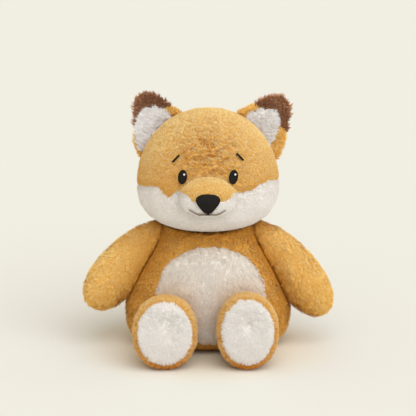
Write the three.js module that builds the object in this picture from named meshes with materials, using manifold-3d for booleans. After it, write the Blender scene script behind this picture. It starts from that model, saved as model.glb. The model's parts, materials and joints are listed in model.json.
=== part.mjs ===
// A seated plush fox, about 30 cm tall to its ear tips, sewn from tan, white and brown short-pile
// cloth. Millimetres, +Z up, and the fox looks along -Y. The origin is the middle of the flat seat
// that it rests on. Every cover is a shell of cloth panels, with its stuffing as a solid inside it.
import * as THREE from "three";
import { mergeVertices } from "three/addons/utils/BufferGeometryUtils.js";
import Module from "manifold-3d";

const wasm = await Module();
wasm.setup();

// Cloth and clearances
const clothThickness = 4; // backing and pressed pile of one layer
const seamGap = 0.35; // between panels sewn edge to edge, and between a cover and its stuffing
const jointGap = 0.6; // between a limb and what it is sewn to, all through its joint's range
const pressedFlat = 0.5; // how deep the floor presses into an underside
const overrun = 15; // how far a cutter runs past what it cuts

// Torso: a pear that sits on its flat seat
const torsoTop = 175;
const torsoHalfWidth = 101;
const torsoHalfDepth = 72;
const torsoWidestHeight = 47;
const bellyHalfWidth = 65;
const bellyHalfHeight = 57.5;
const bellyHeight = 70.5; // of the middle of the white panel
const bellyOffset = 3.5;

// Head
const headHalfWidth = 85;
const headHalfDepth = 66;
const headHeight = 146;
const headBase = 140.5; // height of its underside above the seat
const headForward = 12; // how far its middle is ahead of the seat's middle
const headWidestHeight = 56.5; // above its underside
const cheekDepth = 10; // how far the white panel runs back past the head's middle

// Neck: a stub of torso stuffing that the head turns on
const neckRadius = 22;
const neckRise = 24; // how far it stands up into the head
const neckRootDepth = 30; // how far it reaches down into the torso's stuffing

// Snout
const snoutHalfWidth = 34;
const snoutHalfHeight = 23;
const snoutReach = 29; // in front of the head
const snoutRoot = 36; // behind the front of the head
const snoutHeight = 49.5; // of its middle above the head's underside

// Arms: places across, along and up from the seat's middle, for the fox's left and right
const shoulderHinge = { across: 60, along: 0, up: 139 };
const armRoot = { across: 38, along: -2, up: 141 };
const leftArm = { bendAcross: 100, bendUp: 106, pawAcross: 140.5, pawUp: 38 };
const rightArm = { bendAcross: 103, bendUp: 106, pawAcross: 139.5, pawUp: 46 };
const armBendAlong = -4;
const pawAlong = -24;
const armHalfWidth = 31;
const armHalfDepth = 27;
const armRaiseDegrees = 35;

// Legs
const hipHinge = { across: 45, along: -64, up: 78 };
const legRootAlong = -30;
const soleAlong = -137;
const leftLeg = { across: 44.5, halfWidth: 35.5, halfHeight: 43 };
const rightLeg = { across: 48.5, halfWidth: 37, halfHeight: 41.5 };
const legRaiseDegrees = 30;
const soleBorder = 5; // tan rim round each white sole
const soleRise = 3; // of a sole's middle above the foot's

// Tail
const tailRoot = { along: 44, up: 37 };
const tailEnd = { along: 172, up: 58 };
const tailBendUp = 26.5;
const tailHingeAlong = 66;
const tailRadius = 32;
const tailWagDegrees = 20;
const tailTipLength = 50;

// Ears
const leftEar = { height: 90, tilt: 36, inset: 47 }; // inset: of its root from the head's side
const rightEar = { height: 86, tilt: 27, inset: 45.5 };
const earHalfWidth = 41;
const earHalfThickness = 7;
const earCup = 9; // how far its middle is dished back
const earBase = { along: 5, up: 86 }; // its lowest point, above the head's underside
const earFoldDegrees = 14;
const earHingeRise = 30; // of the fold line above the ear's lowest point
const earTipLength = 32; // of the brown tip at the middle of the ear
const earTipSlant = 5; // how much longer it is at the ear's outer edge, and shorter at its inner one
const liningThickness = 4.5;

// Face
const eyeHalfWidth = 5.3;
const eyeHalfHeight = 8.1;
const eyeSpread = 29; // from the middle of the face
const eyeHeight = 72; // above the head's underside
const glintRadius = 1.5;
const noseHalfWidth = 14.3;
const noseHeight = 22.5;
const noseBase = 35; // of its lowest point above the head's underside
const nosePadding = 4;
const stitchHeight = 1.6; // how far embroidery stands up
const browRadius = 1;
const leftBrowRise = 2; // of the left brow above the right one
const mouthRadius = 0.55;

// Pellet pouch that weighs the seat down
const pouchHalfWidth = 52;
const pouchHalfDepth = 38;
const pouchHeight = 26;

const yAxis = new THREE.Vector3(0, 1, 0);
const zAxis = new THREE.Vector3(0, 0, 1);
const headMiddle = new THREE.Vector3(0, -headForward, headBase);

// How much of a form's sides and rings an inner surface keeps
const innerShare = 0.5;

// A sewn form's half-width at t along it, as a share of its widest: a superellipse with its own
// roundness towards each end.
function swellShare(t, { widestShare, startRound, endRound }) {
  const toStart = t < widestShare;
  const s = toStart ? (widestShare - t) / widestShare : (t - widestShare) / (1 - widestShare);
  const round = toStart ? startRound : endRound;
  return Math.pow(Math.max(0, 1 - Math.pow(s, round)), 1 / round);
}

// A closed stuffed form that swells and tapers along a bent middle line. Its half-depth lies near
// depthAxis, and its half-width across that. grow moves the whole surface outwards.
function stuffedForm(form, grow = 0, detailShare = 1) {
  const { start, bend, end, depthAxis, halfWidth, halfDepth, sectionRound = 2, crowd = 1 } = form;
  const sides = Math.round(form.sides * detailShare);
  const rings = Math.round(form.rings * detailShare);
  const first = start.clone().add(start.clone().sub(bend).setLength(grow));
  const last = end.clone().add(end.clone().sub(bend).setLength(grow));
  const line = new THREE.QuadraticBezierCurve3(first, bend, last);
  const points = [first];
  for (let i = 1; i < rings; i++) {
    const t = (1 - Math.cos(Math.PI * Math.pow(i / rings, crowd))) / 2;
    const along = line.getTangent(t);
    const across = new THREE.Vector3().crossVectors(depthAxis, along).normalize();
    const deep = new THREE.Vector3().crossVectors(along, across);
    const share = swellShare(t, form);
    for (let j = 0; j < sides; j++) {
      const c = Math.cos((2 * Math.PI * j) / sides);
      const s = Math.sin((2 * Math.PI * j) / sides);
      const power = Math.abs(c) ** sectionRound + Math.abs(s) ** sectionRound;
      const reachShare = share * Math.pow(power, -1 / sectionRound);
      const point = line.getPoint(t);
      point.addScaledVector(across, (halfWidth + grow) * reachShare * c);
      point.addScaledVector(deep, (halfDepth + grow) * reachShare * s);
      points.push(point);
    }
  }
  points.push(last);
  const at = (ring, j) => 1 + (ring - 1) * sides + (j % sides);
  const index = [];
  for (let j = 0; j < sides; j++) {
    index.push(0, at(1, j + 1), at(1, j));
    for (let ring = 1; ring < rings - 1; ring++) {
      index.push(at(ring, j), at(ring, j + 1), at(ring + 1, j + 1));
      index.push(at(ring, j), at(ring + 1, j + 1), at(ring + 1, j));
    }
    index.push(points.length - 1, at(rings - 1, j), at(rings - 1, j + 1));
  }
  return new THREE.BufferGeometry().setFromPoints(points).setIndex(index);
}

// From three.js geometry to a solid that can be joined and cut, and back
function solid(geometry) {
  const bare = geometry.clone();
  bare.deleteAttribute("normal");
  bare.deleteAttribute("uv");
  const merged = mergeVertices(bare, 1e-4);
  return new wasm.Manifold(
    new wasm.Mesh({
      numProp: 3,
      vertProperties: new Float32Array(merged.attributes.position.array),
      triVerts: new Uint32Array(merged.index.array),
    }),
  );
}

function geometryOf(body) {
  const { vertProperties, triVerts, numProp } = body.getMesh();
  const position = new Float32Array((vertProperties.length / numProp) * 3);
  for (let i = 0; i < position.length / 3; i++) {
    position.set(vertProperties.subarray(i * numProp, i * numProp + 3), i * 3);
  }
  const made = new THREE.BufferGeometry();
  made.setAttribute("position", new THREE.BufferAttribute(position, 3));
  made.setIndex(new THREE.BufferAttribute(new Uint32Array(triVerts), 1));
  made.computeVertexNormals();
  return made;
}

// A cut can leave loose slivers, and only the largest body is the piece.
function mainBody(body) {
  return body.decompose().reduce((most, piece) => (piece.volume() > most.volume() ? piece : most));
}

function turnAbout(pivot, axis, degrees) {
  const turn = new THREE.Matrix4().makeRotationAxis(axis, THREE.MathUtils.degToRad(degrees));
  const there = new THREE.Matrix4().makeTranslation(pivot);
  const back = new THREE.Matrix4().makeTranslation(pivot.clone().negate());
  return there.multiply(turn).multiply(back);
}

function spread(low, high, count) {
  return Array.from({ length: count + 1 }, (_, i) => low + ((high - low) * i) / count);
}

// Everything that a hinged limb's neighbour takes up, as the limb sees it through its own range
function sweptPast(neighbour, hinge) {
  return hinge.angles
    .map((degrees) => solid(neighbour.clone().applyMatrix4(turnAbout(hinge.pivot, hinge.axis, -degrees))))
    .reduce((all, met) => all.add(met));
}

// The front view's outlines are lists of [x, z] points, counter-clockwise as seen from the front.
function grownOutline(points, grow) {
  const count = points.length;
  const normal = ([ax, az], [bx, bz]) => new THREE.Vector2(bz - az, ax - bx).normalize();
  return points.map((point, i) => {
    const before = normal(points[(i + count - 1) % count], point);
    const after = normal(point, points[(i + 1) % count]);
    const miter = before.clone().add(after).multiplyScalar(grow / (1 + before.dot(after)));
    return [point[0] + miter.x, point[1] + miter.y];
  });
}

function smoothOutline(points, divisions) {
  const closed = new THREE.CatmullRomCurve3(
    points.map(([x, z]) => new THREE.Vector3(x, 0, z)),
    true,
  );
  return closed.getPoints(divisions).slice(0, divisions).map(({ x, z }) => [x, z]);
}

function ovalOutline(halfWidth, halfHeight, x, z, sides) {
  return Array.from({ length: sides }, (_, i) => {
    const angle = (2 * Math.PI * i) / sides;
    return [x + halfWidth * Math.cos(angle), z + halfHeight * Math.sin(angle)];
  });
}

// A thin line of thread through a few points: a strip of even width with an end at each side
function threadOutline(points, radius, divisions) {
  const line = new THREE.SplineCurve(points.map(([x, z]) => new THREE.Vector2(x, z)));
  const edge = (side) =>
    line.getSpacedPoints(divisions).map((point, i) => {
      const along = line.getTangentAt(i / divisions);
      return [point.x + side * radius * along.y, point.y - side * radius * along.x];
    });
  return [...edge(1), ...edge(-1).reverse()];
}

function prism(outline, nearY, farY) {
  const shape = new THREE.Shape(outline.map(([x, z]) => new THREE.Vector2(x, z)));
  const made = new THREE.ExtrudeGeometry(shape, { depth: farY - nearY, bevelEnabled: false });
  made.rotateX(Math.PI / 2);
  return solid(made.translate(0, farY, 0));
}

// A pad that lies on a form's front: all of an outline between two heights above its surface
function frontPad(outline, form, low, high) {
  const pillar = prism(outline, frontLimit, form === headForm ? -headForward : faceAlong);
  const under = solid(stuffedForm(form, low));
  return mainBody(pillar.intersect(solid(stuffedForm(form, high))).subtract(under));
}

const torsoForm = {
  start: new THREE.Vector3(0, 0, -pressedFlat),
  bend: new THREE.Vector3(0, 0, torsoTop / 2),
  end: new THREE.Vector3(0, -headForward, torsoTop),
  depthAxis: yAxis,
  halfWidth: torsoHalfWidth,
  halfDepth: torsoHalfDepth,
  widestShare: torsoWidestHeight / torsoTop,
  startRound: 4.4,
  endRound: 1.5,
  sectionRound: 2.1,
  crowd: 1.6,
  sides: 24,
  rings: 13,
};

const headForm = {
  start: headMiddle,
  bend: headMiddle.clone().addScaledVector(zAxis, headHeight / 2),
  end: headMiddle.clone().addScaledVector(zAxis, headHeight),
  depthAxis: yAxis,
  halfWidth: headHalfWidth,
  halfDepth: headHalfDepth,
  widestShare: headWidestHeight / headHeight,
  startRound: 2.6,
  endRound: 2,
  sectionRound: 2.1,
  sides: 26,
  rings: 13,
};

const faceAlong = -headForward - headHalfDepth;
const frontLimit = faceAlong - snoutReach - overrun;
const snoutForm = {
  start: new THREE.Vector3(0, faceAlong + snoutRoot, headBase + snoutHeight),
  bend: new THREE.Vector3(0, faceAlong, headBase + snoutHeight),
  end: new THREE.Vector3(0, faceAlong - snoutReach, headBase + snoutHeight),
  depthAxis: zAxis,
  halfWidth: snoutHalfWidth,
  halfDepth: snoutHalfHeight,
  widestShare: snoutRoot / (snoutRoot + snoutReach),
  startRound: 3,
  endRound: 2.1,
  sides: 18,
  rings: 9,
};

// side is -1 on the viewer's left, the fox's right, and 1 on the viewer's right.
function armForm(side) {
  const { bendAcross, bendUp, pawAcross, pawUp } = side < 0 ? rightArm : leftArm;
  return {
    start: new THREE.Vector3(side * armRoot.across, armRoot.along, armRoot.up),
    bend: new THREE.Vector3(side * bendAcross, armBendAlong, bendUp),
    end: new THREE.Vector3(side * pawAcross, pawAlong, pawUp),
    depthAxis: yAxis,
    halfWidth: armHalfWidth,
    halfDepth: armHalfDepth,
    widestShare: 0.58,
    startRound: 2.4,
    endRound: 2.4,
    sides: 14,
    rings: 9,
  };
}

function legForm(side) {
  const { across, halfWidth, halfHeight } = side < 0 ? rightLeg : leftLeg;
  const up = halfHeight - pressedFlat;
  return {
    start: new THREE.Vector3(side * across, legRootAlong, up),
    bend: new THREE.Vector3(side * across, (legRootAlong + soleAlong) / 2, up),
    end: new THREE.Vector3(side * across, soleAlong, up),
    depthAxis: zAxis,
    halfWidth,
    halfDepth: halfHeight,
    widestShare: 0.74,
    startRound: 1.6,
    endRound: 3.9,
    sectionRound: 2.2,
    sides: 16,
    rings: 9,
  };
}

const tailForm = {
  start: new THREE.Vector3(0, tailRoot.along, tailRoot.up),
  bend: new THREE.Vector3(0, (tailRoot.along + tailEnd.along) / 2, tailBendUp),
  end: new THREE.Vector3(0, tailEnd.along, tailEnd.up),
  depthAxis: zAxis,
  halfWidth: tailRadius,
  halfDepth: tailRadius,
  widestShare: 0.56,
  startRound: 2.3,
  endRound: 1.8,
  sides: 14,
  rings: 9,
};

// The room that the turning head needs: its widest profile, spun round the neck
function headSweep() {
  const profile = Array.from({ length: headForm.rings + 1 }, (_, i) => {
    const t = (1 - Math.cos((Math.PI * i) / headForm.rings)) / 2;
    const radius = (headHalfWidth + jointGap) * swellShare(t, headForm);
    return new THREE.Vector2(i % headForm.rings ? radius : 0, (headHeight + 2 * jointGap) * t - jointGap);
  });
  const spun = new THREE.LatheGeometry(profile, headForm.sides).rotateX(Math.PI / 2);
  return spun.translate(headMiddle.x, headMiddle.y, headMiddle.z);
}

function neckPlug(grow) {
  const height = neckRootDepth + neckRise + grow;
  const plug = new THREE.CylinderGeometry(neckRadius + grow, neckRadius + grow, height, 24);
  plug.rotateX(Math.PI / 2).translate(0, -headForward, headBase - neckRootDepth + height / 2);
  return solid(plug);
}

function aboveFloor() {
  const span = 4 * torsoHalfWidth;
  return solid(new THREE.BoxGeometry(span, span, span).translate(0, 0, span / 2));
}

const piece = {};
const floor = aboveFloor();
const torsoRoom = stuffedForm(torsoForm, jointGap);
const turningHead = headSweep();

// A cover and its stuffing, both from one form: the cover is a shell a cloth thick.
function shellOf(form) {
  return solid(stuffedForm(form)).subtract(solid(stuffedForm(form, -clothThickness, innerShare)));
}

function stuffingOf(form) {
  return solid(stuffedForm(form, -clothThickness - seamGap, innerShare));
}

function buildTorso() {
  const dish = solid(turningHead);
  const shell = shellOf(torsoForm).intersect(floor).subtract(dish);
  const belly = ovalOutline(bellyHalfWidth, bellyHalfHeight, bellyOffset, bellyHeight, 24);
  const near = -torsoHalfDepth - overrun;
  piece.belly_panel = mainBody(shell.intersect(prism(belly, near, 0)));
  const notBelly = shell.subtract(prism(grownOutline(belly, seamGap), near, 0));
  piece.torso_cover = mainBody(notBelly.subtract(neckPlug(seamGap)));
  const pouchForm = {
    ...torsoForm,
    start: new THREE.Vector3(0, 0, clothThickness + seamGap),
    bend: new THREE.Vector3(0, 0, clothThickness + seamGap + pouchHeight / 2),
    end: new THREE.Vector3(0, 0, clothThickness + seamGap + pouchHeight),
    halfWidth: pouchHalfWidth,
    halfDepth: pouchHalfDepth,
    widestShare: 0.4,
    crowd: 1,
    startRound: 2.6,
    endRound: 2,
    sides: 14,
    rings: 6,
  };
  piece.pellet_pouch = solid(stuffedForm(pouchForm));
  const pouchRoom = solid(stuffedForm(pouchForm, seamGap));
  const pouchNotch = pouchRoom.add(pouchRoom.translate([0, 0, -clothThickness]));
  const filled = stuffingOf(torsoForm).subtract(dish).subtract(pouchNotch);
  piece.torso_stuffing = mainBody(filled.add(neckPlug(0)));
}

// The white of the face in front view. Along its top it runs from one cheek over the snout's two
// sides and under the nose to the other cheek: shares of the head's half-width and height.
const cheekLineShares = [
  [-1, 0.38], [-0.69, 0.405], [-0.53, 0.316], [-0.47, 0.358], [-0.38, 0.388],
  [-0.29, 0.386], [-0.21, 0.335], [0.21, 0.335], [0.31, 0.358], [0.345, 0.393],
  [0.4, 0.37], [0.6, 0.377], [0.68, 0.411], [0.85, 0.445], [1, 0.418],
];

function whiteFaceOutline() {
  const line = cheekLineShares.map(([x, z]) => [x * headHalfWidth, headBase + z * headHeight]);
  const side = headHalfWidth + overrun;
  const under = headBase - overrun;
  const [left, right] = [line[0][1], line[line.length - 1][1]];
  return [[-side, left], [-side, under], [side, under], [side, right], ...line.slice().reverse()];
}

function buildHead() {
  const white = prism(whiteFaceOutline(), frontLimit, cheekDepth - headForward);
  const grown = grownOutline(whiteFaceOutline(), seamGap);
  const notTan = prism(grown, frontLimit, cheekDepth - headForward + seamGap);
  const snoutRoom = solid(stuffedForm(snoutForm, seamGap));
  const neckHole = neckPlug(jointGap);
  const shell = shellOf(headForm).subtract(snoutRoom).subtract(neckHole);
  piece.head_crown = mainBody(shell.subtract(notTan));
  piece.head_cheeks = mainBody(shell.intersect(white));
  const inside = solid(stuffedForm(headForm, -clothThickness, innerShare));
  const snout = shellOf(snoutForm).subtract(inside);
  piece.snout_top = mainBody(snout.subtract(notTan));
  piece.snout_lower = mainBody(snout.intersect(white));
  piece.head_stuffing = mainBody(stuffingOf(headForm).add(stuffingOf(snoutForm)).subtract(neckHole));
}

// Half of the nose from its bottom tip round to the middle of its top: shares of its half-width
// and height
const noseShares = [
  [0, 0], [0.3, 0.07], [0.68, 0.36], [0.97, 0.66], [0.86, 0.86], [0.42, 0.985],
];

// The smile from end to end, from the middle of the mouth: shares of the nose's half-width and height
const smileShares = [
  [-1.5, 0.24], [-0.75, -0.05], [0, 0], [0.75, -0.05], [1.4, 0.22],
];

// The glint and the brow's two ends, out from the eye's middle and up: shares of the eye's half-width
// and half-height
const glintShares = [0.3, 0.42];
const browShares = [[2.2, 1.98], [0.7, 2.98]];

function buildFace() {
  const rightHalf = noseShares.map(([x, z]) => [x * noseHalfWidth, headBase + noseBase + z * noseHeight]);
  const leftHalf = rightHalf.slice(1).reverse().map(([x, z]) => [-x, z]);
  const nose = smoothOutline([...rightHalf, ...leftHalf], 18);
  piece.nose = frontPad(nose, snoutForm, seamGap, seamGap + nosePadding);
  const smileHeight = headBase + noseBase - 3 * mouthRadius;
  const smile = smileShares.map(([x, z]) => [x * noseHalfWidth, smileHeight + z * noseHeight]);
  const mouth = threadOutline(smile, mouthRadius, 10);
  piece.mouth_stitch = frontPad(mouth, snoutForm, seamGap, seamGap + stitchHeight);
  for (const side of [-1, 1]) {
    const name = side < 0 ? "right" : "left";
    const eye = ovalOutline(eyeHalfWidth, eyeHalfHeight, side * eyeSpread, headBase + eyeHeight, 16);
    piece[`eye_${name}`] = frontPad(eye, headForm, seamGap, seamGap + stitchHeight);
    const glintX = side * eyeSpread + glintShares[0] * eyeHalfWidth;
    const glintZ = headBase + eyeHeight + glintShares[1] * eyeHalfHeight;
    const glint = ovalOutline(glintRadius, glintRadius, glintX, glintZ, 8);
    const glintLow = 2 * seamGap + stitchHeight;
    piece[`eye_glint_${name}`] = frontPad(glint, headForm, glintLow, glintLow + stitchHeight / 2);
    const browBase = headBase + eyeHeight + (side < 0 ? 0 : leftBrowRise);
    const brow = browShares.map(([x, z]) => [
      side * (eyeSpread + x * eyeHalfWidth),
      browBase + z * eyeHalfHeight,
    ]);
    const thread = threadOutline(side < 0 ? brow : brow.reverse(), browRadius, 4);
    piece[`brow_${name}`] = frontPad(thread, headForm, seamGap, seamGap + stitchHeight);
  }
}

// The ear's outline and its lining's, from the lowest point up the outer side, over the tip and down
// the inner side: shares of the ear's half-width, outwards, and of its height
const earShares = [
  [0, 0], [0.6, 0.03], [0.95, 0.16], [0.97, 0.36], [0.79, 0.58], [0.56, 0.79], [0.32, 0.96],
  [0, 1], [-0.33, 0.92], [-0.53, 0.75], [-0.73, 0.55], [-0.94, 0.36], [-0.95, 0.16], [-0.6, 0.03],
];
const rightLiningShares = [
  [0.1, 0.09], [0.62, 0.15], [0.84, 0.32], [0.7, 0.55], [0.42, 0.72], [0.1, 0.765],
  [-0.24, 0.68], [-0.45, 0.48], [-0.6, 0.27], [-0.35, 0.12],
];
const leftLiningShares = [
  [0, 0.09], [0.4, 0.15], [0.55, 0.32], [0.48, 0.5], [0.36, 0.66], [0.1, 0.74],
  [-0.26, 0.68], [-0.5, 0.48], [-0.62, 0.27], [-0.4, 0.12],
];

function earOf(side) {
  return side < 0 ? rightEar : leftEar;
}

function earOutline(side, shares, divisions) {
  const { height } = earOf(side);
  const points = shares.map(([x, z]) => [side * x * earHalfWidth, z * height]);
  return smoothOutline(side < 0 ? points.reverse() : points, divisions);
}

// A dished pad with a rounded rim: the outline drawn in towards its middle in steps
function dishedPad(outline, halfThickness, cup) {
  const rimShares = [1, 0.92, 0.65];
  const count = outline.length;
  const middle = outline.reduce(([x, z], point) => [x + point[0] / count, z + point[1] / count], [0, 0]);
  const points = [];
  const index = [];
  const place = (share, face, j) => {
    const puff = halfThickness * Math.sqrt(1 - share ** 3);
    const x = middle[0] + share * (outline[j][0] - middle[0]);
    const z = middle[1] + share * (outline[j][1] - middle[1]);
    return new THREE.Vector3(x, face * puff + cup * (1 - share ** 2), z);
  };
  for (const face of [-1, 1]) {
    const base = points.length;
    for (const share of rimShares) {
      for (let j = 0; j < count; j++) {
        points.push(place(share, face, j));
      }
    }
    points.push(place(0, face, 0));
    const corner = (ring, j) => base + ring * count + (j % count);
    const add = (a, b, c) => index.push(...(face < 0 ? [a, b, c] : [a, c, b]));
    for (let j = 0; j < count; j++) {
      for (let ring = 0; ring < rimShares.length - 1; ring++) {
        add(corner(ring, j), corner(ring, j + 1), corner(ring + 1, j + 1));
        add(corner(ring, j), corner(ring + 1, j + 1), corner(ring + 1, j));
      }
      add(corner(rimShares.length - 1, j), corner(rimShares.length - 1, j + 1), points.length - 1);
    }
  }
  return new THREE.BufferGeometry().setFromPoints(points).setIndex(index);
}

function earPlace(side) {
  const { tilt, inset } = earOf(side);
  const stand = new THREE.Matrix4().makeRotationY(side * THREE.MathUtils.degToRad(tilt));
  return stand.setPosition(side * (headHalfWidth - inset), earBase.along, headBase + earBase.up);
}

function earHinge(side) {
  const place = earPlace(side);
  return {
    pivot: new THREE.Vector3(0, 0, earHingeRise).applyMatrix4(place),
    axis: new THREE.Vector3(1, 0, 0).transformDirection(place),
    angles: spread(-earFoldDegrees, earFoldDegrees, 2),
  };
}

function buildEar(side) {
  const name = side < 0 ? "right" : "left";
  const place = earPlace(side);
  const pad = dishedPad(earOutline(side, earShares, 20), earHalfThickness, earCup);
  const behind = (depth) => solid(pad.clone().translate(0, depth, 0));
  const depth = earCup + 2 * earHalfThickness;
  const lining = earOutline(side, side < 0 ? rightLiningShares : leftLiningShares, 18);
  const liningRoom = prism(grownOutline(lining, seamGap), -depth, depth);
  const ear = solid(pad);
  const cutLining = liningRoom.subtract(behind(liningThickness + seamGap));
  const tipTop = earOf(side).height + overrun;
  const seam = earOf(side).height - earTipLength;
  const wide = earHalfWidth + overrun;
  const slant = side * earTipSlant;
  const tip = [[-wide, seam + slant], [wide, seam - slant], [wide, tipTop], [-wide, tipTop]];
  const back = ear.subtract(cutLining);
  const headRoom = sweptPast(stuffedForm(headForm, jointGap), earHinge(side));
  const placed = (body) => {
    const stood = solid(geometryOf(body).applyMatrix4(place));
    return mainBody(stood.subtract(headRoom));
  };
  piece[`ear_back_${name}`] = placed(back.subtract(prism(grownOutline(tip, seamGap), -depth, depth)));
  piece[`ear_tip_${name}`] = placed(back.intersect(prism(tip, -depth, depth)));
  piece[`ear_lining_${name}`] = placed(
    ear.intersect(prism(lining, -depth, depth)).subtract(behind(liningThickness)),
  );
}

function armHinge(side) {
  const { across, along, up } = shoulderHinge;
  return {
    pivot: new THREE.Vector3(side * across, along, up),
    axis: yAxis.clone().multiplyScalar(-side),
    angles: spread(0, armRaiseDegrees, 3),
  };
}

function buildArm(side) {
  const name = side < 0 ? "right" : "left";
  const room = sweptPast(torsoRoom, armHinge(side)).add(sweptPast(turningHead, armHinge(side)));
  piece[`arm_cover_${name}`] = mainBody(shellOf(armForm(side)).subtract(room));
  piece[`arm_stuffing_${name}`] = mainBody(stuffingOf(armForm(side)).subtract(room));
}

function legHinge(side) {
  const { across, along, up } = hipHinge;
  return {
    pivot: new THREE.Vector3(side * across, along, up),
    axis: new THREE.Vector3(-1, 0, 0),
    angles: spread(0, legRaiseDegrees, 2),
  };
}

function buildLeg(side) {
  const name = side < 0 ? "right" : "left";
  const form = legForm(side);
  const room = sweptPast(torsoRoom, legHinge(side));
  const shell = shellOf(form).intersect(floor).subtract(room);
  const near = soleAlong - overrun;
  const far = soleAlong + overrun;
  const inner = { width: form.halfWidth - soleBorder, height: form.halfDepth - soleBorder };
  const pad = ovalOutline(inner.width, inner.height, form.end.x, form.end.z + soleRise, 20);
  piece[`leg_cover_${name}`] = mainBody(shell.subtract(prism(grownOutline(pad, seamGap), near, far)));
  piece[`sole_pad_${name}`] = mainBody(shell.intersect(prism(pad, near, far)));
  piece[`leg_stuffing_${name}`] = mainBody(stuffingOf(form).subtract(room));
}

function tailHinge() {
  return {
    pivot: new THREE.Vector3(0, tailHingeAlong, tailRoot.up),
    axis: zAxis,
    angles: spread(-tailWagDegrees, tailWagDegrees, 4),
  };
}

function buildTail() {
  const room = sweptPast(torsoRoom, tailHinge());
  const shell = shellOf(tailForm).intersect(floor).subtract(room);
  const seam = tailEnd.along - tailTipLength;
  const tip = (grow) => {
    const span = 4 * tailRadius;
    const box = new THREE.BoxGeometry(span, span, span);
    return solid(box.translate(0, seam - grow + span / 2, tailEnd.up));
  };
  piece.tail_cover = mainBody(shell.subtract(tip(seamGap)));
  piece.tail_tip = mainBody(shell.intersect(tip(0)));
  piece.tail_stuffing = mainBody(stuffingOf(tailForm).subtract(room));
}

buildTorso();
buildHead();
buildFace();
for (const side of [-1, 1]) {
  buildEar(side);
  buildArm(side);
  buildLeg(side);
}
buildTail();

const cloth = { roughness: 0.95, metalness: 0 };
const finishes = {
  tan: { color: 0xd9a35a, ...cloth },
  white: { color: 0xdcd3c6, ...cloth },
  brown: { color: 0x5f3822, ...cloth },
  black: { color: 0x272320, roughness: 0.6, metalness: 0 },
  stuffing: { color: 0xf2f0ea, ...cloth },
  pouch: { color: 0xb9b4a8, ...cloth },
};

const finishOf = [
  [/stuffing/, "stuffing"],
  [/pouch/, "pouch"],
  [/belly|cheeks|snout_lower|lining|sole|tail_tip|glint/, "white"],
  [/ear_tip/, "brown"],
  [/nose|mouth|eye|brow/, "black"],
  [/./, "tan"],
];

const fox = new THREE.Group();
for (const [name, body] of Object.entries(piece)) {
  const [, finish] = finishOf.find(([pattern]) => pattern.test(name));
  const mesh = new THREE.Mesh(geometryOf(body), new THREE.MeshStandardMaterial(finishes[finish]));
  mesh.name = name;
  fox.add(mesh);
}

export default fox;
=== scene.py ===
# A seated plush fox: stuffed skins of short-pile cloth, each with its pile as fine bent strands.
# Metres, +Z up, and the fox looks along -Y. Each skin follows the solid that it stands for.
import json
import math
from collections import namedtuple

import bpy
import numpy as np
from mathutils.bvhtree import BVHTree
from mathutils.kdtree import KDTree
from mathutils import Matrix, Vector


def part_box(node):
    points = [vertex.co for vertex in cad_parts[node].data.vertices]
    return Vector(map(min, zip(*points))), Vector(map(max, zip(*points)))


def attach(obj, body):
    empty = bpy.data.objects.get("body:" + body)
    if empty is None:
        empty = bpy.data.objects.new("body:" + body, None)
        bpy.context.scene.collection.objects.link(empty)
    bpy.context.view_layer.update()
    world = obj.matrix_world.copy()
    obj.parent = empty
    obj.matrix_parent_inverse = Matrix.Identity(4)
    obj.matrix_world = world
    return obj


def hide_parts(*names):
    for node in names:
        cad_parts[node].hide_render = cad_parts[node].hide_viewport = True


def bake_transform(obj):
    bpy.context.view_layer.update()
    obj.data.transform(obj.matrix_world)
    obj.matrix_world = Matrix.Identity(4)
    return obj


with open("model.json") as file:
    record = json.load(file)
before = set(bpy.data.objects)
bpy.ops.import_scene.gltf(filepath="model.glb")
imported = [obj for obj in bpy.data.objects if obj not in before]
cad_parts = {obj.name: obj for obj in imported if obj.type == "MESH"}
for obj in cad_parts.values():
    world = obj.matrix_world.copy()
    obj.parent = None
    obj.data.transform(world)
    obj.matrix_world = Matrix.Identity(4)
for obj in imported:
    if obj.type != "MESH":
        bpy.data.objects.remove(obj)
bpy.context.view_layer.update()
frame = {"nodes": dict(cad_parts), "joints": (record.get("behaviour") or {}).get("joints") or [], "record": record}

MM = 0.001
SEED = 20
UP = np.array([0.0, 0.0, 1.0])
FRONT = np.array([0.0, -1.0, 0.0])
nodes = frame["nodes"]
joints = {joint["name"]: joint for joint in frame["joints"]}
scene = bpy.context.scene
SIDES = ("right", "left")


def box_middle(node):
    low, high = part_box(node)
    return (np.array(low) + np.array(high)) / 2


def joint_place(name):
    return np.array(joints[name]["pos_m"])


# Colours, written as a screen shows them from 0 to 255, by the constants of the sRGB standard
SCREEN_KNEE = 0.04045
SCREEN_SHIFT = 0.055
SCREEN_POWER = 2.4
SCREEN_SLOPE = 12.92


def linear(red, green, blue):
    shown = np.array([red, green, blue]) / 255
    curved = ((shown + SCREEN_SHIFT) / (1 + SCREEN_SHIFT)) ** SCREEN_POWER
    return (*np.where(shown > SCREEN_KNEE, curved, shown / SCREEN_SLOPE), 1.0)


# A pile: length and width of a strand, strands on a square millimetre, lean from upright in degrees,
# how far strands gather in tufts and how wide a tuft is, how far their direction wanders over a hand's
# breadth and within a tuft, in degrees, the skin's depth under the tips as a share of the length, how
# much tufts differ in tone, how much the pile is painted paler where it faces up and darker where it
# faces down, as painted light and shade (the other way round below nought), how much painted shade it
# takes in folds, hollows and beside other bodies, and its colour.
Pile = namedtuple("Pile", "length width density lean gather tuft wander curl sink contrast top deep colour")

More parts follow.
